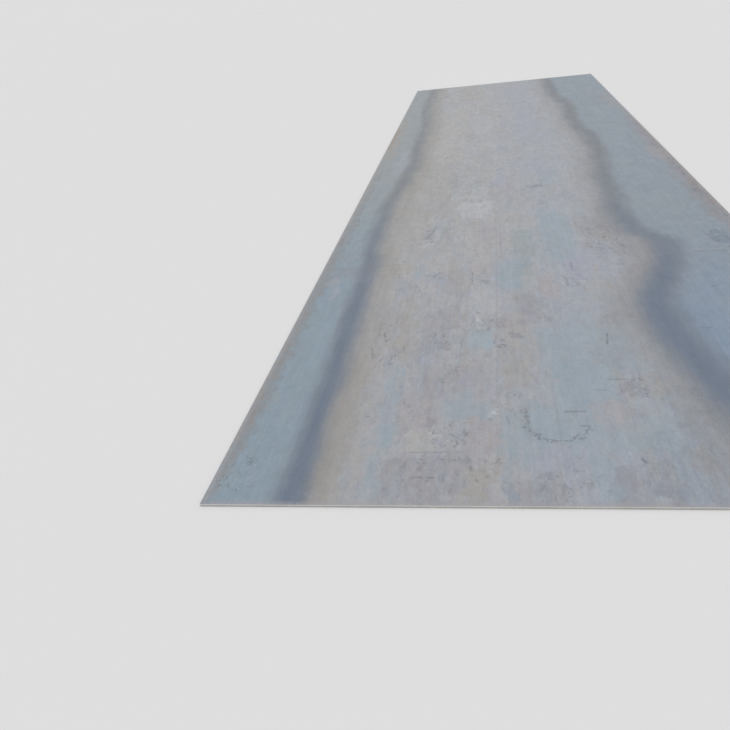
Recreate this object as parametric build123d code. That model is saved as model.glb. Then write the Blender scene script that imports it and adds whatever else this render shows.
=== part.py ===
"""Hot-rolled steel plate, guillotine-sheared to size on all four sides.

Frame: origin at the centre of the underside, +X across the plate, +Y along it, +Z up.
All sizes are in millimetres. The one piece lies flat, with its rolled-over shear edge upwards.
"""

from build123d import *
import os

# Stock size
length = 6000.0
width = 1500.0
thickness = 6.0

# Sheared edge, from the top face down: rollover, bright burnished land, torn fracture zone, broken arris
rollover_radius = 0.6
burnish_land = 1.5
fracture_angle = 4.0
bottom_arris = 0.3

# Plan view of the corners, dulled so that they don't cut gloves and slings
corner_radius = 2.0


def plan(level):
    """Outline of the plate seen from above, at a height above the floor."""
    with BuildSketch(Plane.XY.offset(level)) as outline:
        RectangleRounded(width, length, corner_radius)
    return outline.sketch


def burnished_zone():
    """Upper part of the thickness, where the blade cut cleanly, with the rollover along its top edge."""
    fracture_depth = thickness - rollover_radius - burnish_land
    with BuildPart() as zone:
        add(plan(fracture_depth))
        extrude(amount=burnish_land + rollover_radius)
        fillet(zone.faces().sort_by(Axis.Z)[-1].edges(), rollover_radius)
    return zone.part


def fracture_zone():
    """Lower part of the thickness, torn back at a slight angle, with its bottom arris broken."""
    fracture_depth = thickness - rollover_radius - burnish_land
    with BuildPart() as zone:
        add(plan(fracture_depth))
        extrude(amount=-fracture_depth, taper=fracture_angle)
        chamfer(zone.faces().sort_by(Axis.Z)[0].edges(), bottom_arris)
    return zone.part


def steel_plate():
    """The whole plate, one rolled piece."""
    return burnished_zone() + fracture_zone()


def write_parts():
    """Writes each piece to its own file."""
    os.makedirs("parts", exist_ok=True)
    export_step(steel_plate(), "parts/steel_plate.step")


write_parts()
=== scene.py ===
from collections import namedtuple
from math import pi, radians, sqrt, tan
from types import SimpleNamespace

import bmesh
import bpy
from bpy.props import FloatProperty, FloatVectorProperty, PointerProperty
from mathutils import Matrix, Vector, noise


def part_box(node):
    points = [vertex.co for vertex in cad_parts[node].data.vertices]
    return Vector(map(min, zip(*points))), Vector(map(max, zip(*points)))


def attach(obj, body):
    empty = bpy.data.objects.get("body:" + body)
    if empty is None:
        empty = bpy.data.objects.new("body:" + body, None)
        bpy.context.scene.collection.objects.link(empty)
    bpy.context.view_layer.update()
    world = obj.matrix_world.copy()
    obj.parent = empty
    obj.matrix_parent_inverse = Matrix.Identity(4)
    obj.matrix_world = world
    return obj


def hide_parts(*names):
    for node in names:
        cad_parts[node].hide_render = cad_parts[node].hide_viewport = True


bl_info = {
    "name": "Steel Plate",
    "version": (1, 0, 0),
    "blender": (4, 5, 0),
    "location": "3D Viewport > Sidebar > Steel Plate",
    "description": "Models and finishes a hot-rolled, guillotine-sheared steel plate on a studio floor",
    "category": "Object",
}

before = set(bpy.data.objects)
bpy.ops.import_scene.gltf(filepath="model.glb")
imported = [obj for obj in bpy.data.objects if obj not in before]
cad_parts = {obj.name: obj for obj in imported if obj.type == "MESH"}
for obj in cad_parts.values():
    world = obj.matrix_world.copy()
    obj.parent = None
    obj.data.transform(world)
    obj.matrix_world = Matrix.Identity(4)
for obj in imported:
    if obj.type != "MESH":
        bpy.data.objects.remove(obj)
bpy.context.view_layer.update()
PLATE_LOW, PLATE_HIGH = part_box("steel_plate")
PLATE_SIZE = PLATE_HIGH - PLATE_LOW
MM = 0.001

# Places on the face are in millimetres from the plate's centre: across it to the right, along it to the far
# end. A share runs from 0, not to be seen, to 1.
Band = namedtuple("Band", "line towards outer_near outer_far inner_near inner_far dark warm")
Tone = namedtuple("Tone", "across along half_width half_length finish share")
Scuff = namedtuple("Scuff", "across along half_width half_length share")
Scratch = namedtuple("Scratch", "across along length width turn share")
Mottle = namedtuple("Mottle", "finish width length start full share")

# The dark bands where the pale middle meets the blue sides. line holds (along, across) and dark holds (along,
# strength). towards is 1 where the middle lies right of the line, and -1 where it lies left of it. The
# widths outside and inside the line run from a near one to a far one. warm is the share of the warm rim.
BANDS = (
    Band(
        line=(
            (-3000, -556), (-2800, -562), (-2500, -562), (-2200, -565), (-2000, -573), (-1800, -575),
            (-1600, -575), (-1450, -590), (-1250, -600), (-1000, -598), (-700, -592), (-400, -571),
            (-150, -558), (100, -546), (350, -561), (700, -558), (1100, -556), (1400, -566), (1700, -590),
            (2200, -600), (3000, -590),
        ),
        towards=1, outer_near=60, outer_far=56, inner_near=115, inner_far=180,
        dark=(
            (-3000, 1), (-2300, 0.95), (-1800, 0.84), (-1650, 0.7), (-1500, 0.78), (-1300, 0.74),
            (-500, 0.62), (200, 0.68), (700, 0.56), (3000, 0.5),
        ),
        warm=0.45,
    ),
    Band(
        line=(
            (-3000, 440), (-2650, 403), (-2400, 360), (-2150, 333), (-2000, 344), (-1850, 388), (-1700, 438),
            (-1550, 456), (-1400, 410), (-1100, 368), (-850, 378), (-500, 392), (-150, 418), (150, 436),
            (400, 434), (700, 404), (1100, 400), (1400, 416), (1800, 390), (2200, 364), (3000, 368),
        ),
        towards=-1, outer_near=108, outer_far=74, inner_near=200, inner_far=180,
        dark=((-3000, 1), (-2000, 1), (-1550, 0.9), (-1100, 0.74), (-500, 0.7), (500, 0.68), (3000, 0.6)),
        warm=0.1,
    ),
)

# Patches of the face that rolled and cooled to another tone, and small pale specks painted as glints, which
# are painted highlights
TONES = (
    Tone(-506, -2680, 30, 330, "ochre", 0.5),
    Tone(-503, -2885, 22, 60, "ochre", 0.45),
    Tone(-508, -2640, 20, 55, "ochre", 0.4),
    Tone(-392, -2690, 19, 290, "blue", 0.55),
    Tone(-385, -2640, 15, 45, "lilac", 0.6),
    Tone(-375, -2730, 18, 60, "blue", 0.6),
    Tone(-320, -2640, 42, 92, "salmon", 0.5),
    Tone(-292, -2665, 12, 40, "mauve", 0.5),
    Tone(-305, -2757, 34, 28, "beige", 0.7),
    Tone(-285, -2905, 92, 86, "mauve", 0.42),
    Tone(-200, -2632, 50, 56, "blue", 0.65),
    Tone(-170, -2775, 40, 80, "salmon", 0.45),
    Tone(-165, -2915, 38, 52, "ochre", 0.6),
    Tone(-114, -2800, 12, 200, "blue", 0.45),
    Tone(-55, -2745, 55, 110, "blue", 0.65),
    Tone(-20, -2862, 36, 60, "lilac", 0.6),
    Tone(-88, -2462, 24, 72, "ochre", 0.45),
    Tone(-195, -2480, 18, 50, "lilac", 0.6),
    Tone(-240, -2470, 90, 90, "mauve", 0.22),
    Tone(-50, -2950, 45, 50, "mauve", 0.45),
    Tone(80, -2500, 72, 120, "blue", 0.85),
    Tone(15, -2690, 70, 100, "blue", 0.7),
    Tone(170, -2740, 90, 60, "blue", 0.55),
    Tone(115, -2660, 36, 60, "salmon", 0.45),
    Tone(78, -2890, 26, 90, "blue", 0.55),
    Tone(150, -2945, 50, 60, "mauve", 0.45),
    Tone(190, -2540, 20, 30, "mauve", 0.5),
    Tone(250, -2550, 32, 60, "ochre", 0.45),
    Tone(275, -2855, 26, 36, "ochre", 0.5),
    Tone(262, -2890, 90, 130, "slate", 0.24),
    Tone(-385, -2150, 26, 220, "ochre", 0.35),
    Tone(-390, -2260, 16, 50, "ochre", 0.45),
    Tone(-450, -2080, 36, 120, "mauve", 0.3),
    Tone(-325, -2380, 24, 32, "lilac", 0.5),
    Tone(-300, -2190, 38, 140, "mauve", 0.42),
    Tone(-165, -2250, 34, 62, "blue", 1),
    Tone(-165, -2250, 30, 55, "pale", 0.25),
    Tone(-95, -2020, 16, 60, "lilac", 0.5),
    Tone(-120, -2130, 34, 44, "mauve", 0.4),
    Tone(-75, -2140, 36, 60, "salmon", 0.35),
    Tone(-155, -1960, 44, 110, "pale", 0.3),
    Tone(-310, -1750, 42, 60, "lilac", 0.6),
    Tone(-250, -1780, 28, 100, "ochre", 0.35),
    Tone(-378, -1690, 18, 72, "blue", 0.6),
    Tone(-165, -1660, 34, 60, "salmon", 0.4),
    Tone(-70, -1740, 42, 150, "blue", 0.85),
    Tone(-122, -1750, 10, 150, "lilac", 0.5),
    Tone(-25, -1680, 26, 90, "teal", 0.5),
    Tone(-465, -1640, 72, 50, "ochre", 0.5),
    Tone(-15, -2050, 42, 80, "mauve", 0.4),
    Tone(45, -1860, 22, 110, "salmon", 0.85),
    Tone(148, -1720, 42, 130, "lilac", 0.65),
    Tone(70, -2045, 34, 36, "lilac", 0.5),
    Tone(100, -2320, 120, 130, "blue", 0.6),
    Tone(155, -2370, 46, 56, "mauve", 0.3),
    Tone(210, -2120, 32, 40, "mauve", 0.4),
    Tone(205, -1930, 60, 90, "ochre", 0.25),
    Tone(362, -1700, 70, 240, "mauve", 0.5),
    Tone(110, -1330, 56, 310, "blue", 0.85),
    Tone(-15, -1430, 44, 180, "teal", 0.5),
    Tone(-145, -1300, 55, 150, "salmon", 0.45),
    Tone(-172, -1500, 16, 36, "salmon", 0.5),
    Tone(270, -1370, 80, 230, "mauve", 0.42),
    Tone(272, -1360, 30, 60, "ochre", 0.35),
    Tone(200, -1600, 80, 90, "lilac", 0.4),
    Tone(-200, -955, 70, 130, "pale", 0.55),
    Tone(-160, -890, 30, 70, "pale", 0.4),
    Tone(-185, -690, 36, 120, "pale", 0.3),
    Tone(-375, -1265, 14, 78, "slate", 0.28),
    Tone(-350, -1250, 12, 70, "pale", 0.35),
    Tone(-385, -1380, 24, 40, "pale", 0.4),
    Tone(-410, -500, 110, 520, "ochre", 0.4),
    Tone(-440, -1150, 60, 300, "ochre", 0.35),
    Tone(-80, -420, 24, 180, "lilac", 0.6),
    Tone(-35, -630, 18, 60, "salmon", 0.6),
    Tone(240, -640, 14, 90, "salmon", 0.55),
    Tone(145, -450, 46, 160, "blue", 0.6),
    Tone(85, -200, 90, 200, "lilac", 0.4),
    Tone(270, -380, 16, 40, "salmon", 0.5),
    Tone(-15, -1130, 60, 80, "ochre", 0.3),
    Tone(-300, -420, 12, 160, "mauve", 0.35),
    Tone(-365, 850, 95, 850, "beige", 0.4),
    Tone(-175, 1100, 55, 320, "pale", 0.2),
    Tone(-110, 420, 50, 110, "pale", 0.2),
    Tone(110, 1000, 80, 600, "lilac", 0.55),
    Tone(60, 2300, 120, 420, "lilac", 0.4),
    Tone(-260, 2450, 90, 360, "ochre", 0.35),
    Tone(260, 1500, 50, 250, "ochre", 0.25),
    Tone(-585, 120, 60, 260, "lilac", 0.6),
    Tone(-705, -2030, 20, 60, "teal", 0.6),
    Tone(-665, -1850, 16, 60, "lilac", 0.6),
    Tone(-690, -1740, 24, 50, "salmon", 0.5),
    Tone(-640, -1640, 70, 50, "mauve", 0.5),
    Tone(-640, -1480, 70, 60, "mauve", 0.35),
    Tone(-700, -2560, 16, 50, "ochre", 0.4),
    Tone(640, 1650, 60, 350, "mauve", 0.3),
    Tone(728, -650, 30, 1150, "mauve", 0.75),
    Tone(712, -1000, 42, 280, "shade", 0.45),
    Tone(700, -120, 40, 160, "salmon", 0.5),
    Tone(-572, -1620, 24, 40, "rust", 0.3),
    Tone(690, -560, 34, 120, "mauve", 0.45),
    Tone(712, 650, 34, 260, "mauve", 0.5),
    Tone(-732, -1500, 26, 1450, "shade", 0.45),
    Tone(-740, -500, 16, 500, "ochre", 0.5),
    Tone(-740, -2100, 20, 900, "rust", 0.2),
    Tone(716, 1500, 36, 420, "ochre", 0.35),
    Tone(-722, 850, 40, 700, "ochre", 0.7),
    Tone(700, 150, 36, 330, "mauve", 0.5),
    Tone(305, -2650, 55, 110, "slate", 0.2),
    Tone(580, -1600, 50, 14, "ochre", 0.25),
    Tone(-110, -2970, 14, 35, "slate", 0.25),
    Tone(-320, -2108, 15, 26, "salmon", 0.4),
    Tone(125, -2412, 14, 16, "salmon", 0.5),
    Tone(80, -625, 26, 30, "slate", 0.2),
    Tone(660, -1500, 34, 90, "slate", 0.5),
    Tone(-742, 850, 12, 330, "rust", 0.6),
    Tone(-744, -2520, 9, 60, "rust", 0.25),
    Tone(-60, 480, 42, 260, "lilac", 0.45),
    Tone(734, 0, 15, 1100, "rust", 0.2),
    Tone(736, -700, 8, 50, "rust", 0.3),
    Tone(732, -1070, 10, 40, "rust", 0.35),
    Tone(738, -150, 8, 60, "rust", 0.3),
    Tone(720, -590, 10, 30, "slate", 0.5),
    Tone(716, -880, 10, 26, "slate", 0.45),
    # The small pale specks below are painted glints, painted highlights; the rest are small patches of tone
    Tone(-139, -2636, 7, 12, "pale", 0.9),
    Tone(-271, -2755, 8, 12, "pale", 0.9),
    Tone(-331, -2737, 9, 16, "pale", 0.6),
    Tone(-119, -852, 10, 24, "pale", 0.8),
    Tone(-164, -892, 14, 26, "ochre", 0.5),
    Tone(-305, -737, 10, 28, "pale", 0.7),
    Tone(153, -1832, 9, 11, "pale", 0.8),
    Tone(101, -1833, 12, 15, "mauve", 0.6),
    Tone(-182, -2102, 7, 36, "pale", 0.7),
    Tone(-72, -2210, 13, 26, "mauve", 0.6),
    Tone(87, -881, 16, 28, "mauve", 0.5),
    Tone(-247, -2451, 12, 22, "mauve", 0.7),
)

# Rubbed spots that carry fine dark scribbles and smudges, and pale specks painted as glints, which are
# painted highlights
SCUFFS = (
    Scuff(-240, -2750, 36, 62, 1),
    Scuff(-285, -2890, 88, 88, 0.6),
    Scuff(-160, -2870, 52, 56, 0.8),
    Scuff(-685, -2885, 34, 56, 0.9),
    Scuff(-728, -2815, 15, 12, 1),
    Scuff(-722, -2925, 20, 30, 1),
    Scuff(-550, -2935, 40, 36, 0.3),
    Scuff(-438, -2657, 10, 12, 1),
    Scuff(-345, -2620, 20, 30, 0.8),
    Scuff(-300, -2760, 42, 34, 0.4),
    Scuff(-110, -2640, 36, 60, 0.6),
    Scuff(-240, -2450, 22, 60, 0.8),
    Scuff(-265, -2230, 40, 70, 0.8),
    Scuff(-450, -2200, 24, 66, 0.8),
    Scuff(-475, -2320, 20, 50, 0.7),
    Scuff(-405, -2340, 22, 70, 0.8),
    Scuff(-150, -2140, 50, 80, 0.7),
    Scuff(-120, -2295, 24, 26, 1),
    Scuff(-75, -2215, 16, 30, 0.9),
    Scuff(-370, -1900, 30, 76, 0.8),
    Scuff(-330, -1710, 30, 40, 1),
    Scuff(-185, -1770, 24, 70, 0.9),
    Scuff(-460, -1700, 32, 50, 0.8),
    Scuff(-500, -1550, 60, 50, 0.5),
    Scuff(115, -1850, 50, 70, 0.8),
    Scuff(130, -1700, 14, 64, 0.8),
    Scuff(160, -2850, 22, 26, 1),
    Scuff(190, -2520, 40, 50, 0.8),
    Scuff(322, -2610, 20, 50, 0.5),
    Scuff(310, -2780, 20, 80, 0.5),
    Scuff(10, -2935, 60, 56, 0.7),
    Scuff(60, -2040, 44, 30, 0.4),
    Scuff(270, -1430, 70, 160, 0.9),
    Scuff(-280, -1240, 42, 80, 0.5),
    Scuff(-380, -1270, 26, 90, 0.8),
    Scuff(-170, -700, 62, 160, 0.6),
    Scuff(-180, -880, 52, 60, 0.6),
    Scuff(80, -625, 32, 32, 1),
    Scuff(-160, -200, 80, 150, 0.4),
    Scuff(-200, 650, 60, 200, 0.3),
    Scuff(655, -1530, 50, 130, 0.9),
    Scuff(735, -600, 16, 900, 0.9),
    Scuff(535, -820, 18, 30, 0.9),
    Scuff(572, -240, 18, 44, 0.8),
    Scuff(520, -1930, 12, 15, 1),
)

# Straight handling scratches, each turned from the plate's length by so many degrees
SCRATCHES = (
    Scratch(-100, -1370, 470, 3, 0, 0.3),
    Scratch(4, -2620, 460, 3, 0, 0.1),
    Scratch(-200, -1755, 110, 4, 0, 0.55),
    Scratch(167, -2270, 85, 4, -7, 0.6),
    Scratch(-287, -2812, 120, 5, 90, 0.3),
    Scratch(-285, -2906, 70, 5, 88, 0.4),
    Scratch(-230, -2842, 70, 5, 86, 0.3),
    Scratch(62, -640, 90, 8, -30, 0.4),
    Scratch(160, -2500, 60, 6, 90, 0.35),
    Scratch(-450, -2195, 55, 5, 8, 0.55),
    Scratch(-472, -2310, 85, 4, 8, 0.45),
    Scratch(-370, -1245, 190, 7, -12, 0.35),
    Scratch(130, -1700, 100, 4, 0, 0.4),
    Scratch(102, -1840, 90, 5, 0, 0.4),
    Scratch(-165, -1790, 70, 5, 62, 0.4),
    Scratch(-322, -1715, 60, 6, -38, 0.5),
    Scratch(150, -1105, 200, 4, 90, 0.22),
    Scratch(-295, -420, 340, 3, 0, 0.3),
    Scratch(590, -1622, 130, 8, 88, 0.3),
    Scratch(-500, -1590, 110, 5, 86, 0.35),
    Scratch(43, -2650, 60, 7, 90, 0.6),
    Scratch(60, -2712, 24, 6, 90, 0.4),
    Scratch(-197, -2840, 40, 4, 0, 0.4),
    Scratch(-410, -2385, 32, 5, 0, 0.4),
    Scratch(92, -610, 60, 7, 35, 0.35),
    Scratch(548, -815, 50, 8, -20, 0.4),
    Scratch(-120, -1800, 2300, 4, -0.7, 0.14),
    Scratch(-364, 147, 60, 6, 0, 0.5),
    Scratch(-153, -246, 70, 7, 30, 0.3),
    Scratch(-88, -234, 60, 7, -30, 0.35),
    Scratch(-246, -772, 80, 9, 90, 0.35),
    Scratch(-172, -546, 60, 9, 60, 0.4),
    Scratch(58, -623, 80, 9, 75, 0.35),
    Scratch(161, -2849, 24, 7, 30, 0.5),
    Scratch(430, -2223, 36, 7, 85, 0.3),
    Scratch(519, -1933, 20, 6, 40, 0.5),
    Scratch(115, -2551, 40, 5, 80, 0.3),
    Scratch(-438, -2657, 15, 5, 90, 0.6),
    Scratch(-188, -2875, 28, 6, 20, 0.4),
    Scratch(-221, -2753, 60, 5, 50, 0.3),
    Scratch(-123, -2295, 32, 6, 40, 0.5),
)

# Blotches that the scale carries all over, from broad clouds to small rubbed spots. Each shows where a noise
# from 0 to 1 passes its start, and reaches its share where the noise is full.
MOTTLES = (
    Mottle("ochre", 120, 420, 0.55, 0.85, 0.35),
    Mottle("lilac", 110, 380, 0.55, 0.85, 0.4),
    Mottle("blue", 90, 340, 0.6, 0.85, 0.3),
    Mottle("mauve", 70, 240, 0.62, 0.9, 0.3),
    Mottle("ochre", 26, 110, 0.58, 0.72, 0.25),
    Mottle("lilac", 22, 80, 0.58, 0.72, 0.35),
    Mottle("blue", 24, 130, 0.6, 0.74, 0.3),
    Mottle("mauve", 18, 55, 0.62, 0.8, 0.3),
    Mottle("pale", 14, 40, 0.74, 0.95, 0.3),
    Mottle("slate", 12, 30, 0.78, 0.97, 0.2),
)

# How a mark fades from its core to its border. A smoothstep stays within its ends without a clamp. A clamp
# would keep one more value for each mark, and Cycles has room for 255 values in a shader.
FADE = {"interpolation_type": "SMOOTHSTEP", "clamp": False}

# The warm rim on the inner side of a dark band, in millimetres from the band's line and from the rim's middle
RIM_MIDDLE = 70
RIM_REACH = 75
RIM_CORE = 10

# Keeps the floor clear of the plate's underside
FLOOR_GAP = 0.05 * MM


def linear(code, alpha=1.0):
    """An sRGB hex colour as the linear colour that a socket takes."""
    parts = [int(code[i:i + 2], 16) / 255 for i in (1, 3, 5)]
    return (*(p / 12.92 if p <= 0.04045 else ((p + 0.055) / 1.055) ** 2.4 for p in parts), alpha)


def colour_property(name, code, description):
    """A colour setting whose default is written as sRGB hex."""
    return FloatVectorProperty(
        name=name, description=description, subtype="COLOR", size=4, min=0, max=1, default=linear(code)
    )


class ShearSettings(bpy.types.PropertyGroup):
    """The four guillotined sides, from the top face down."""

    corner_radius: FloatProperty(
        name="Corner radius", description="Dulled corner in plan", default=2 * MM, min=0, subtype="DISTANCE"
    )
    rollover: FloatProperty(
        name="Rollover", description="Radius where the blade drew the top face down", default=0.6 * MM,
        min=0, subtype="DISTANCE",
    )
    land: FloatProperty(
        name="Burnished land", description="Height that the blade cut cleanly", default=1.5 * MM, min=0,
        subtype="DISTANCE",
    )
    fracture_angle: FloatProperty(
        name="Fracture angle", description="Lean of the torn zone", default=radians(4), min=0, subtype="ANGLE"
    )
    arris: FloatProperty(
        name="Bottom arris", description="Width of the broken bottom edge", default=0.3 * MM, min=0,
        subtype="DISTANCE",
    )
    cell: FloatProperty(
        name="Cell", description="Size of the mesh cells of the flat faces", default=50 * MM, min=10 * MM,
        subtype="DISTANCE",
    )
    step: FloatProperty(
        name="Tear spacing", description="Distance between the relief's points along a side",
        default=6.25 * MM, min=MM, subtype="DISTANCE",
    )
    tear: FloatProperty(
        name="Tear depth", description="Depth of the torn relief", default=0.18 * MM, min=0,
        subtype="DISTANCE",
    )
    steel: colour_property("Sheared steel", "#D6D5D2", "Bare steel of the burnished land")
    torn: colour_property("Torn steel", "#B4B3B0", "Duller steel of the fracture zone")


class ScaleSettings(bpy.types.PropertyGroup):
    """Tones of the mill scale on the two faces."""

    middle: colour_property("Middle", "#AAAAAE", "Pale grey scale of the middle of the face, at the near end")
    middle_far: colour_property("Middle, far", "#AFAFB1", "The same towards the far end")
    cool: colour_property("Cool middle", "#A3A9B2", "Right half of the middle, at the near end")
    cool_far: colour_property("Cool middle, far", "#A9ACB3", "The same towards the far end")
    left: colour_property("Left side", "#8B9CA9", "Blue scale outside the left dark band, at the near end")
    left_far: colour_property("Left side, far", "#959DA2", "The same towards the far end")
    right: colour_property(
        "Right side", "#8193A8", "Deep blue scale outside the right dark band, at the near end"
    )
    right_far: colour_property("Right side, far", "#8C98A3", "The same towards the far end")
    slate: colour_property(
        "Dark band", "#66758A", "Slate scale where the middle meets the sides, at the near end"
    )
    slate_far: colour_property("Dark band, far", "#70777F", "The same towards the far end")
    shade: colour_property("Band shoulder", "#898889", "Brownish grey on the inner side of a dark band")
    blue: colour_property("Blue patch", "#97A5B0", "Cooler patches")
    teal: colour_property("Teal patch", "#8E9EA3", "Greenish patches")
    lilac: colour_property("Lilac patch", "#A2A5B3", "Lilac patches")
    ochre: colour_property("Ochre patch", "#A29E98", "Warm patches and the rim inside a dark band")
    beige: colour_property("Beige patch", "#B3B0AC", "Pale warm patches towards the far end")
    salmon: colour_property("Salmon patch", "#A9A2A6", "Pinkish patches")
    mauve: colour_property("Mauve patch", "#908F97", "Rubbed mauve patches")
    # The pale tone colours real pale patches and also the glints, which are painted highlights
    pale: colour_property("Pale patch", "#BABEC4", "Pale rubbed patches and glints")
    dark: colour_property("Dark mark", "#60646B", "Scribbles, smudges and scratches")
    rust: colour_property("Edge stain", "#A08468", "Thin rust beside the shear")
    rim: colour_property("Shear rim", "#A6A2A4", "Scale cracked off along the shear")


class StudioSettings(bpy.types.PropertyGroup):
    """Floor, light and camera."""

    floor: colour_property("Floor", "#DCDCDC", "Pale studio floor")
    backdrop: colour_property("Backdrop", "#DEDEDE", "What the camera sees behind the floor")
    sky: FloatProperty(name="Sky strength", description="Even light from all round", default=0.78, min=0)
    key: FloatProperty(name="Key strength", description="Soft key light", default=0.9, min=0)
    key_from: FloatVectorProperty(
        name="Key direction", description="Towards the key light", default=(-0.45, -0.55, 1),
        subtype="DIRECTION",
    )
    key_width: FloatProperty(
        name="Key width", description="How wide the key light seems", default=radians(24), min=0,
        subtype="ANGLE",
    )
    height: FloatProperty(
        name="Camera height", description="Above the floor", default=0.94, subtype="DISTANCE"
    )
    in_front: FloatProperty(
        name="Camera distance", description="In front of the near end", default=1.201, subtype="DISTANCE"
    )
    to_left: FloatProperty(
        name="Camera offset", description="Left of the plate's middle", default=0.131, subtype="DISTANCE"
    )
    tilt: FloatProperty(name="Tilt", description="Down from level", default=radians(26.6), subtype="ANGLE")
    pan: FloatProperty(name="Pan", description="To the left", default=radians(12.5), subtype="ANGLE")
    roll: FloatProperty(name="Roll", description="About the view", default=radians(-7.4), subtype="ANGLE")
    lens: FloatProperty(name="Lens", description="Focal length in mm", default=37.25, min=1)
    sensor: FloatProperty(name="Sensor", description="Width of the sensor in mm", default=36, min=1)
    shift: FloatProperty(name="Shift", description="Sideways framing", default=0.025)


def fill_points(mapping, points):
    """Writes (place, value) points into a curve."""
    curve = mapping.curves[0]
    for spare in range(len(points) - len(curve.points)):
        curve.points.new(spare / len(points), 0)
    for point, place in zip(curve.points, points):
        point.location = place
    mapping.update()


def add(tree, kind, *inputs, output=None, **named):
    """Adds a shader node and returns its first output, or the one of that name.

    Inputs come in order or by their capitalised name, and settings are lower case."""
    node = tree.nodes.new("ShaderNode" + kind)
    for name, value in named.items():
        if name == "points":
            fill_points(node.mapping, value)
        elif name[0].islower():
            setattr(node, name, value)
    wanted = list(zip([socket for socket in node.inputs if socket.enabled], inputs))
    for name, value in named.items():
        if name[0].isupper():
            wanted.append((node.inputs[name.replace("_", " ")], value))
    for socket, value in wanted:
        if isinstance(value, bpy.types.NodeSocket):
            tree.links.new(value, socket)
        else:
            socket.default_value = value
    return next(socket for socket in node.outputs if socket.enabled and output in (None, socket.name))


def joined(tree, operation, *values):
    """Several values as one, by one arithmetic step after another."""
    result, *rest = values
    for value in rest:
        result = add(tree, "Math", result, value, operation=operation)
    return result


def coated(tree, colour, *coats, way="MIX"):
    """A colour with others laid over it, each given as its share and its colour."""
    for share, coat in coats:
        colour = add(tree, "Mix", share, colour, coat, data_type="RGBA", blend_type=way)
    return colour


def new_material(name):
    """An empty node material and its tree."""
    material = bpy.data.materials.new(name)
    material.use_nodes = True
    material.node_tree.nodes.clear()
    return material, material.node_tree


def end_tree(tree, shader, kind="OutputMaterial"):
    """Links a shader to the output that ends its tree."""
    output = tree.nodes.new("ShaderNode" + kind)
    tree.links.new(shader, output.inputs["Surface"])


def face_coordinates(tree):
    """Where a point lies on the face, in metres and in millimetres across and along the plate.

    far runs from 0 at the near end to 1, upper is 1 on the top face and 0 on the underside, and drift is the
    place wandering a little, for borders that look grown."""
    metres = add(tree, "TexCoord", output="Object")
    height = add(tree, "VectorMath", metres, (0, 0, 1), operation="DOT_PRODUCT")
    upper = add(tree, "MapRange", height, PLATE_SIZE.z / 3, PLATE_SIZE.z * 2 / 3, 0, 1)
    place = add(tree, "VectorMath", metres, (1 / MM, 1 / MM, 0), operation="MULTIPLY")
    across = add(tree, "VectorMath", place, (1, 0, 0), operation="DOT_PRODUCT")
    along = add(tree, "VectorMath", place, (0, 1, 0), operation="DOT_PRODUCT")
    half = PLATE_SIZE.y / 2 / MM
    far = add(tree, "MapRange", along, -half, half, 0, 1)
    stray = add(
        tree, "TexNoise", Vector=metres, Scale=1 / (60 * MM), Detail=6, Roughness=0.62, noise_dimensions="2D",
        output="Color",
    )
    stray = add(tree, "VectorMath", stray, (0.5, 0.5, 0.5), operation="SUBTRACT")
    reach = (90, 220, 0)
    drift = add(tree, "VectorMath", stray, reach, place, operation="MULTIPLY_ADD")
    return SimpleNamespace(
        metres=metres, place=place, across=across, along=along, far=far, upper=upper, drift=drift
    )


def blotches(tree, spot, width, length, detail=4, roughness=0.6, seed=0):
    """Noise from about 0 to 1 whose spots are that wide and long, in millimetres."""
    size = (1 / (width * MM), 1 / (length * MM), 0)
    place = add(tree, "Mapping", spot.metres, (seed, seed, 0), (0, 0, 0), size)
    value = add(
        tree, "TexNoise", Vector=place, Scale=1, Detail=detail, Roughness=roughness, noise_dimensions="2D"
    )
    return add(tree, "MapRange", value, 0.3, 0.7, 0, 1)


def along_curve(tree, spot, points):
    """A value that runs through listed (along, value) points."""
    values = [value for along, value in points]
    low, high = min(values), max(values)
    half = PLATE_SIZE.y / 2 / MM
    curve = [((along + half) / (2 * half), (value - low) / (high - low)) for along, value in points]
    return add(tree, "MapRange", add(tree, "FloatCurve", 1, spot.far, points=curve), 0, 1, low, high)


def band_distance(tree, spot, band):
    """Distance in millimetres from a dark band's darkest line, positive towards the middle of the plate."""
    line = along_curve(tree, spot, band.line)
    ends = (spot.across, line) if band.towards > 0 else (line, spot.across)
    wander = add(tree, "MapRange", blotches(tree, spot, 70, 300, detail=2, seed=3), 0, 1, -7, 7)
    return add(tree, "Math", joined(tree, "SUBTRACT", *ends), wander, operation="ADD")


def zones(tree, spot, distances, tones):
    """The face's main zones: a pale middle and blue sides, both paler and less blue towards the far end."""
    inside = joined(tree, "MINIMUM", *distances)
    middle = add(tree, "MapRange", inside, -25, 75, 0, 1, interpolation_type="SMOOTHSTEP")
    right = add(tree, "MapRange", spot.across, -130, 90, 0, 1, interpolation_type="SMOOTHSTEP")
    soon = add(tree, "MapRange", spot.far, 0.1, 0.3, 0, 1, interpolation_type="SMOOTHSTEP")
    later = add(tree, "MapRange", spot.far, 0.18, 0.48, 0, 1, interpolation_type="SMOOTHSTEP")
    left_side = coated(tree, tones.left, (later, tones.left_far))
    right_side = coated(tree, tones.right, (soon, tones.right_far))
    warm_middle = coated(tree, tones.middle, (soon, tones.middle_far))
    cool_middle = coated(tree, tones.cool, (soon, tones.cool_far))
    side = coated(tree, left_side, (right, right_side))
    return coated(tree, side, (middle, coated(tree, warm_middle, (right, cool_middle)))), middle


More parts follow.
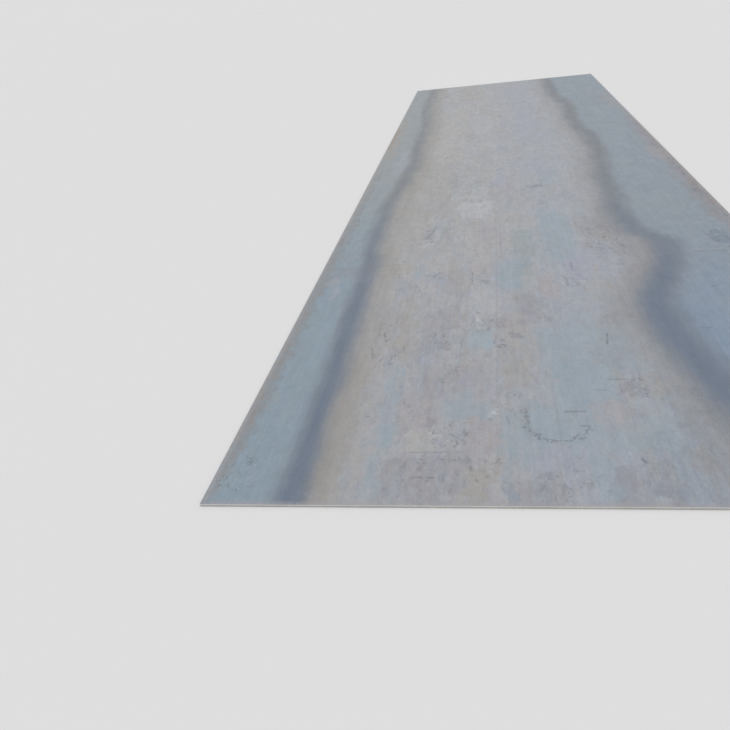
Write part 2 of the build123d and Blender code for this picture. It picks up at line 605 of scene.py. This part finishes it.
def banded(tree, spot, colour, distances, tones):
    """Lays a smooth dark band with a warm inner rim over each border between the middle and a side."""
    later = add(tree, "MapRange", spot.far, 0.18, 0.48, 0, 1, interpolation_type="SMOOTHSTEP")
    slate = coated(tree, tones.slate, (later, tones.slate_far))
    for band, distance in zip(BANDS, distances):
        off = add(tree, "Math", joined(tree, "SUBTRACT", distance, RIM_MIDDLE), operation="ABSOLUTE")
        warm = add(
            tree, "MapRange", off, RIM_REACH, RIM_CORE, 0, band.warm, interpolation_type="SMOOTHSTEP"
        )
        width = add(tree, "MapRange", spot.far, 0.2, 0.7, band.inner_near, band.inner_far)
        narrow = joined(tree, "MULTIPLY", width, 0.48)
        border = add(tree, "MapRange", spot.far, 0.1, 0.45, -band.outer_near, -band.outer_far)
        outer = add(tree, "MapRange", distance, border, 0, 0, 1, interpolation_type="SMOOTHSTEP")
        patchy = add(tree, "MapRange", blotches(tree, spot, 70, 340, detail=2, seed=8), 0, 1, 0.88, 1.04)
        dark = joined(tree, "MULTIPLY", outer, patchy, along_curve(tree, spot, band.dark))
        colour = coated(tree, colour, (warm, tones.ochre))
        for reach, share, tone in ((width, 0.75, tones.shade), (narrow, 0.85, slate)):
            inner = add(tree, "MapRange", distance, reach, 0, 0, share, interpolation_type="SMOOTHSTEP")
            colour = coated(tree, colour, (joined(tree, "MULTIPLY", inner, dark), tone))
    return colour


def share_of(tree, place, mark, border, core):
    """A mark's share at a point, from none at its border to all of it in its core.

    Both are given as parts of the mark's half width and half length."""
    size = (1 / mark.half_width, 1 / mark.half_length, 0)
    middle = (-mark.across * size[0], -mark.along * size[1], 0)
    away = add(tree, "VectorMath", place, size, middle, operation="MULTIPLY_ADD")
    away = add(tree, "VectorMath", away, away, operation="MULTIPLY")
    away = add(tree, "VectorMath", away, operation="LENGTH")
    return add(tree, "MapRange", away, border ** 2, core ** 2, 0, mark.share, **FADE)


def toned(tree, spot, colour, tones):
    """Lays the patches of other tones over the face, with blotchy borders."""
    blotchy = blotches(tree, spot, 22, 60, detail=6, roughness=0.7, seed=21)
    blotchy = add(tree, "MapRange", blotchy, 0.1, 0.9, 0.4, 1.2)
    for mark in TONES:
        share = joined(tree, "MULTIPLY", share_of(tree, spot.drift, mark, 1.22, 0.77), blotchy)
        colour = coated(tree, colour, (share, getattr(tones, mark.finish)))
    return colour


def mottled(tree, spot, colour, tones, middle):
    """Broad soft clouds and small spots of other tones, mostly in the middle."""
    fading = add(tree, "MapRange", middle, 0, 1, 0.25, 1)
    for seed, mottle in enumerate(MOTTLES):
        spots = blotches(
            tree, spot, mottle.width, mottle.length, detail=6, roughness=0.65, seed=31 + 7 * seed
        )
        share = add(tree, "MapRange", spots, mottle.start, mottle.full, 0, mottle.share)
        share = joined(tree, "MULTIPLY", share, fading)
        colour = coated(tree, colour, (share, getattr(tones, mottle.finish)))
    return colour


def textured(tree, spot, colour):
    """Chalky mottle, rolling streaks and fine grain, as brightness only."""
    mottle = blotches(tree, spot, 30, 60, detail=8, roughness=0.72, seed=61)
    streak = blotches(tree, spot, 11, 700, detail=3, seed=67)
    grain = blotches(tree, spot, 6, 11, detail=5, roughness=0.8, seed=71)
    for value, low, high in ((mottle, 0.94, 1.05), (streak, 0.97, 1.03), (grain, 0.95, 1.05)):
        colour = coated(tree, colour, (1, add(tree, "MapRange", value, 0, 1, low, high)), way="MULTIPLY")
    return colour


def scribbles(tree, spot, size, thickness, seed):
    """Thin wandering broken lines, where a noise of that size crosses its middle."""
    value = blotches(tree, spot, size, 1.3 * size, detail=3, roughness=0.65, seed=seed)
    away = add(tree, "Math", joined(tree, "SUBTRACT", value, 0.5), operation="ABSOLUTE")
    line = add(tree, "MapRange", away, thickness, 0.3 * thickness, 0, 1)
    broken = blotches(tree, spot, 1.2 * size, 1.6 * size, seed=seed + 1)
    broken = add(tree, "MapRange", broken, 0.55, 0.85, 0, 1)
    return joined(tree, "MULTIPLY", line, broken)


def heel_scuff(tree, spot):
    """A worn horseshoe-shaped scuff, open towards the far end, its right arm the shorter."""
    middle = (2, -2704)
    radius = 68
    away = add(tree, "VectorMath", spot.place, (*middle, 0), operation="SUBTRACT")
    sideways = add(tree, "VectorMath", away, (1, 0, 0), operation="DOT_PRODUCT")
    forwards = add(tree, "VectorMath", away, (0, 1, 0), operation="DOT_PRODUCT")
    lower = joined(tree, "MINIMUM", forwards, 0)
    ring = add(tree, "VectorMath", add(tree, "CombineXYZ", sideways, lower, 0), operation="LENGTH")
    wander = add(tree, "MapRange", blotches(tree, spot, 14, 18, detail=4, seed=83), 0, 1, -9, 9)
    off = add(tree, "Math", joined(tree, "ADD", ring, wander, -radius), operation="ABSOLUTE")
    line = add(tree, "MapRange", off, 7, 2, 0, 0.5)
    slant = add(tree, "Math", sideways, 0.6, forwards, operation="MULTIPLY_ADD")
    arms = add(tree, "MapRange", slant, 25, 45, 1, 0)
    broken = add(tree, "MapRange", blotches(tree, spot, 9, 12, detail=3, seed=89), 0.25, 0.6, 0.1, 1)
    return joined(tree, "MULTIPLY", line, arms, broken)


def scratched(tree, spot):
    """All the straight scratches as one mask."""
    total = 0
    for mark in SCRATCHES:
        away = add(tree, "VectorMath", spot.place, (mark.across, mark.along, 0), operation="SUBTRACT")
        turn = Matrix.Rotation(radians(mark.turn), 3, "Z")
        beside = add(tree, "VectorMath", away, turn.col[0], operation="DOT_PRODUCT")
        beyond = add(tree, "VectorMath", away, turn.col[1], operation="DOT_PRODUCT")
        beside = add(tree, "Math", beside, operation="ABSOLUTE")
        beyond = add(tree, "Math", beyond, operation="ABSOLUTE")
        beside = add(tree, "MapRange", beside, mark.width, 0.3 * mark.width, 0, mark.share, **FADE)
        beyond = add(tree, "MapRange", beyond, 0.5 * mark.length, 0.3 * mark.length, 0, 1, **FADE)
        total = joined(tree, "MAXIMUM", total, joined(tree, "MULTIPLY", beside, beyond))
    worn = add(tree, "MapRange", blotches(tree, spot, 12, 30, seed=97), 0.2, 0.6, 0.4, 1)
    return joined(tree, "MULTIPLY", total, worn)


def scuffed(tree, spot):
    """How rubbed the top face is: 1 in the middle of a scuffed spot."""
    total = 0
    for mark in SCUFFS:
        total = joined(tree, "MAXIMUM", total, share_of(tree, spot.drift, mark, 1.3, 0.7))
    return joined(tree, "MULTIPLY", total, spot.upper)


def side_distance(tree, spot):
    """Distance in millimetres to the nearest of the plate's four sides."""
    gaps = []
    for value, half in ((spot.across, PLATE_HIGH.x / MM), (spot.along, PLATE_HIGH.y / MM)):
        gaps.append(joined(tree, "SUBTRACT", half, add(tree, "Math", value, operation="ABSOLUTE")))
    return joined(tree, "MINIMUM", *gaps)


def make_mill_scale(scale):
    """Hot-rolled mill scale: a thin blue-grey iron oxide skin, grown on the plate as it cooled.

    It gives the eye a satin sheen, dark bands and soft mottle where the plate cooled unevenly, and rubs and
    scratches from handling."""
    material, tree = new_material("hot-rolled mill scale")
    tones = SimpleNamespace(**{name: tuple(getattr(scale, name)) for name in scale.__annotations__})
    spot = face_coordinates(tree)
    distances = [band_distance(tree, spot, band) for band in BANDS]
    colour, middle = zones(tree, spot, distances, tones)
    colour = mottled(tree, spot, colour, tones, middle)
    colour = toned(tree, spot, colour, tones)
    colour = banded(tree, spot, colour, distances, tones)
    colour = textured(tree, spot, colour)

    rim = add(tree, "MapRange", side_distance(tree, spot), 16, 5, 0, 0.7)
    ragged = add(tree, "MapRange", blotches(tree, spot, 12, 30, seed=101), 0, 1, 0.3, 1)
    rim = joined(tree, "MULTIPLY", rim, ragged)
    worn = scuffed(tree, spot)
    smudge = add(tree, "MapRange", blotches(tree, spot, 14, 34, detail=4, seed=103), 0.68, 0.95, 0, 0.4)
    # Pale specks painted as glints, in the rubbed spots and scattered wider: painted highlights
    painted_glint = add(tree, "MapRange", blotches(tree, spot, 7, 18, detail=3, seed=107), 0.88, 1, 0, 0.5)
    specks = add(tree, "MapRange", blotches(tree, spot, 6, 14, detail=3, seed=109), 0.72, 0.9, 0, 0.35)
    stray = add(tree, "MapRange", blotches(tree, spot, 200, 400, seed=113), 0.3, 0.8, 0, 0.25)
    marks = joined(
        tree, "MAXIMUM",
        joined(tree, "MULTIPLY", scribbles(tree, spot, 36, 0.06, 5), worn, 0.65),
        joined(tree, "MULTIPLY", heel_scuff(tree, spot), spot.upper),
        joined(tree, "MULTIPLY", scratched(tree, spot), spot.upper),
        joined(tree, "MULTIPLY", smudge, worn),
        joined(tree, "MULTIPLY", specks, rim),
    )
    painted_glint = joined(tree, "MULTIPLY", painted_glint, joined(tree, "MAXIMUM", worn, stray))
    colour = coated(tree, colour, (rim, tones.rim), (marks, tones.dark), (painted_glint, tones.pale))

    rough = add(tree, "MapRange", blotches(tree, spot, 60, 140, detail=6, seed=127), 0, 1, 0.46, 0.58)
    grain = blotches(tree, spot, 5, 9, detail=6, roughness=0.75, seed=131)
    waves = blotches(tree, spot, 60, 120, seed=137)
    relief = add(tree, "Math", waves, 3, grain, operation="MULTIPLY_ADD")
    bump = add(tree, "Bump", Strength=0.4, Distance=0.07 * MM, Height=relief)
    shader = add(tree, "BsdfPrincipled", Base_Color=colour, Metallic=0.35, Roughness=rough, Normal=bump)
    end_tree(tree, shader)
    return material


def make_sheared_steel(shear):
    """Bare sheared steel, cut cold by a guillotine's blade.

    It gives the eye a bright burnished land over a duller torn zone, with fine upright drag marks."""
    material, tree = new_material("guillotine-sheared steel edge")
    place = add(tree, "TexCoord", output="Object")
    height = add(tree, "SeparateXYZ", place, output="Z")
    land_foot = PLATE_HIGH.z - shear.rollover - shear.land
    # The foot of the land wanders about every 7 mm, and the steel's own patches are about 110 mm wide
    ragged = add(tree, "TexNoise", Vector=place, Scale=140, Detail=4)
    ragged = add(tree, "MapRange", ragged, 0.3, 0.7, -0.5 * MM, 0.5 * MM)
    height = joined(tree, "ADD", height, ragged)
    torn = add(tree, "MapRange", height, land_foot + 0.2 * MM, land_foot - 0.2 * MM, 0, 1)
    per_drag = (1 / (1.2 * MM), 1 / (1.2 * MM), 1 / (12 * MM))
    drag = add(tree, "VectorMath", place, per_drag, operation="MULTIPLY")
    drag = add(tree, "TexNoise", Vector=drag, Scale=1, Detail=5, Roughness=0.7)
    patchy = add(tree, "TexNoise", Vector=place, Scale=9, Detail=6, Roughness=0.65)
    colour = coated(tree, tuple(shear.steel), (torn, tuple(shear.torn)))
    for value, low, high in ((drag, 0.88, 1.1), (patchy, 0.85, 1.08)):
        tone = add(tree, "MapRange", value, 0.3, 0.7, low, high)
        colour = coated(tree, colour, (1, tone), way="MULTIPLY")
    rough = add(tree, "MapRange", torn, 0, 1, 0.35, 0.55)
    bump = add(tree, "Bump", Strength=0.4, Distance=0.08 * MM, Height=drag)
    shader = add(tree, "BsdfPrincipled", Base_Color=colour, Metallic=0.5, Roughness=rough, Normal=bump)
    end_tree(tree, shader)
    return material


def plan_normal(place, corner_radius):
    """Direction out of the plate, seen from above, at a point on its outline, and none inside it."""
    half = PLATE_HIGH.xy - Vector((corner_radius, corner_radius))
    anchor = Vector((max(-half.x, min(half.x, place.x)), max(-half.y, min(half.y, place.y))))
    return (place.xy - anchor).normalized()


def shear_inset(depth, shear):
    """How far a sheared side stands inside the outline, at a depth below the top face."""
    if depth < shear.rollover:
        rise = shear.rollover - depth
        return shear.rollover - sqrt(shear.rollover ** 2 - rise ** 2)
    torn = max(0, depth - shear.rollover - shear.land)
    broken = max(0, depth - (PLATE_SIZE.z - shear.arris))
    return torn * tan(shear.fracture_angle) + broken


def shear_rows(shear):
    """Depths below the top face of the rows of points down a sheared side."""
    foot = shear.rollover + shear.land
    torn = PLATE_SIZE.z - shear.arris - foot
    rounded = [shear.rollover * share for share in (0.1, 0.4, 1)]
    return rounded + [foot + torn * share for share in (0, 0.3, 0.65, 1)]


def cut_slab(bm, shear):
    """A slab of square cells with dulled corners, its sides finely divided and cut into rows."""
    centre = (PLATE_HIGH + PLATE_LOW) / 2
    top = Matrix.Translation((*centre.xy, PLATE_HIGH.z)) @ Matrix.Diagonal((*PLATE_SIZE.xy, 1, 1))
    across, along = (round(size / shear.cell) for size in PLATE_SIZE.xy)
    bmesh.ops.create_grid(bm, x_segments=across, y_segments=along, size=0.5, matrix=top)
    corners = [vertex for vertex in bm.verts if len(vertex.link_edges) == 2]
    bmesh.ops.bevel(
        bm, geom=corners, offset=shear.corner_radius, segments=4, profile=0.5, affect="VERTICES", material=-1
    )
    rim = [edge for edge in bm.edges if edge.is_boundary and edge.calc_length() > shear.cell / 2]
    bmesh.ops.subdivide_edges(bm, edges=rim, cuts=round(shear.cell / shear.step) - 1)
    bmesh.ops.solidify(bm, geom=bm.faces[:], thickness=PLATE_SIZE.z)
    for depth in shear_rows(shear):
        everything = bm.verts[:] + bm.edges[:] + bm.faces[:]
        bmesh.ops.bisect_plane(
            bm, geom=everything, plane_co=(0, 0, PLATE_HIGH.z - depth), plane_no=(0, 0, 1)
        )


def tear_sides(bm, shear):
    """Gives the sides their sheared section and the torn zone its relief, all inside the plate's outline."""
    torn_from = shear.rollover + shear.land - 0.01 * MM
    torn_to = PLATE_SIZE.z - 0.01 * MM
    for vertex in bm.verts:
        outward = plan_normal(vertex.co, shear.corner_radius)
        if not outward.length:
            continue
        depth = PLATE_HIGH.z - vertex.co.z
        inset = shear_inset(depth, shear)
        if torn_from < depth < torn_to:
            # Tears about 11 mm and 3 mm long, which wander up and down every 22 mm or so
            rough = noise.noise(vertex.co * 90) + 0.6 * noise.noise(vertex.co * 310)
            inset += shear.tear * max(0, 0.5 + 0.5 * rough)
            vertex.co.z += 0.8 * shear.tear * noise.noise(vertex.co * 45)
        vertex.co.xy -= outward * inset


def lay_map(bm):
    """A map for the finish: the top face widest, then the underside, and beside them the sides as strips."""
    layer = bm.loops.layers.uv.new("OFBake")
    for face in bm.faces:
        for loop in face.loops:
            share = Vector(part / size for part, size in zip(loop.vert.co - PLATE_LOW, PLATE_SIZE))
            if face.normal.z > 0.5:
                place = (0.01 + 0.62 * share.x, share.y)
            elif face.normal.z < -0.5:
                place = (0.65 + 0.23 * share.x, share.y)
            else:
                upright = abs(face.normal.x) > abs(face.normal.y)
                strip = 2 * upright + (max(face.normal.xy, key=abs) > 0)
                place = (0.9 + 0.025 * strip + 0.018 * share.z, share.y if upright else share.x)
            loop[layer].uv = place


def model_plate(shear):
    """The plate as one closed slab: flat faces, and sides with the relief of a guillotine cut."""
    bm = bmesh.new()
    cut_slab(bm, shear)
    tear_sides(bm, shear)
    for face in bm.faces:
        face.normal_update()
        face.material_index = int(abs(face.normal.z) < 0.5)
        face.smooth = abs(face.normal.z) < 0.999
    lay_map(bm)
    mesh = bpy.data.meshes.new("plate")
    bm.to_mesh(mesh)
    bm.free()
    return mesh


class PLATE_OT_model_plate(bpy.types.Operator):
    """Model the plate with its sheared sides and finish its faces"""

    bl_idname = "plate.model_plate"
    bl_label = "Model Plate"

    def execute(self, context):
        scene = context.scene
        mesh = model_plate(scene.plate_shear)
        mesh.materials.append(make_mill_scale(scene.plate_scale))
        mesh.materials.append(make_sheared_steel(scene.plate_shear))
        plate = bpy.data.objects.new("plate", mesh)
        scene.collection.objects.link(plate)
        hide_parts("steel_plate")
        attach(plate, "root")
        return {"FINISHED"}


def make_floor(colour):
    """A pale matt floor, level with the plate's underside."""
    bm = bmesh.new()
    bmesh.ops.create_circle(bm, cap_ends=True, segments=96, radius=60)
    mesh = bpy.data.meshes.new("floor")
    bm.to_mesh(mesh)
    bm.free()
    material, tree = new_material("matt studio paint")
    end_tree(tree, add(tree, "BsdfPrincipled", Base_Color=tuple(colour), Roughness=0.9))
    mesh.materials.append(material)
    floor = bpy.data.objects.new("floor", mesh)
    floor.location.z = PLATE_LOW.z - FLOOR_GAP
    return floor


def light_studio(scene, studio):
    """Even light from all round, and one soft key from behind the camera on the left."""
    world = bpy.data.worlds.new("studio")
    world.use_nodes = True
    tree = world.node_tree
    tree.nodes.clear()
    rays = ("Is Camera Ray", "Is Glossy Ray", "Is Transmission Ray")
    seen = joined(tree, "MAXIMUM", *[add(tree, "LightPath", output=ray) for ray in rays])
    even = add(tree, "Background", (1, 1, 1, 1), studio.sky)
    backdrop = add(tree, "Background", tuple(studio.backdrop), 1)
    end_tree(tree, add(tree, "MixShader", seen, even, backdrop), "OutputWorld")
    scene.world = world
    key = bpy.data.objects.new("key", bpy.data.lights.new("key", "SUN"))
    key.data.energy = studio.key
    key.data.angle = studio.key_width
    key.rotation_euler = studio.key_from.to_track_quat("Z", "Y").to_euler()
    scene.collection.objects.link(key)


def place_camera(scene, studio):
    """Looks along the plate from beyond its near end, a little above and to the left of its middle."""
    camera = bpy.data.objects.new("camera", bpy.data.cameras.new("camera"))
    camera.data.lens = studio.lens
    camera.data.sensor_width = studio.sensor
    camera.data.shift_x = studio.shift
    camera.data.clip_start = 0.05
    camera.location = (-studio.to_left, PLATE_LOW.y - studio.in_front, PLATE_LOW.z + studio.height)
    level = Matrix.Rotation(studio.pan, 3, "Z") @ Matrix.Rotation(pi / 2 - studio.tilt, 3, "X")
    camera.rotation_euler = (level @ Matrix.Rotation(studio.roll, 3, "Z")).to_euler()
    scene.collection.objects.link(camera)
    scene.camera = camera


class PLATE_OT_set_stage(bpy.types.Operator):
    """Lay the floor, light the studio and place the camera"""

    bl_idname = "plate.set_stage"
    bl_label = "Set Stage"

    def execute(self, context):
        scene = context.scene
        studio = scene.plate_studio
        floor = make_floor(studio.floor)
        scene.collection.objects.link(floor)
        light_studio(scene, studio)
        place_camera(scene, studio)
        scene.view_settings.view_transform = "Standard"
        return {"FINISHED"}


class PLATE_PT_sidebar(bpy.types.Panel):
    """Lists the plate's operators and settings"""

    bl_idname = "PLATE_PT_sidebar"
    bl_label = "Steel Plate"
    bl_space_type = "VIEW_3D"
    bl_region_type = "UI"
    bl_category = "Steel Plate"

    def draw(self, context):
        for operator in OPERATORS:
            self.layout.operator(operator.bl_idname)
        for name in SETTINGS:
            group = getattr(context.scene, name)
            box = self.layout.box()
            for setting in group.__annotations__:
                box.prop(group, setting)


SETTINGS = {"plate_shear": ShearSettings, "plate_scale": ScaleSettings, "plate_studio": StudioSettings}
OPERATORS = (PLATE_OT_model_plate, PLATE_OT_set_stage)


def register():
    for kind in (*SETTINGS.values(), *OPERATORS, PLATE_PT_sidebar):
        bpy.utils.register_class(kind)
    for name, kind in SETTINGS.items():
        setattr(bpy.types.Scene, name, PointerProperty(type=kind))


def unregister():
    for name in SETTINGS:
        delattr(bpy.types.Scene, name)
    for kind in (PLATE_PT_sidebar, *OPERATORS, *SETTINGS.values()):
        bpy.utils.unregister_class(kind)


def main():
    register()
    bpy.ops.plate.model_plate()
    bpy.ops.plate.set_stage()


if __name__ == "__main__":
    main()
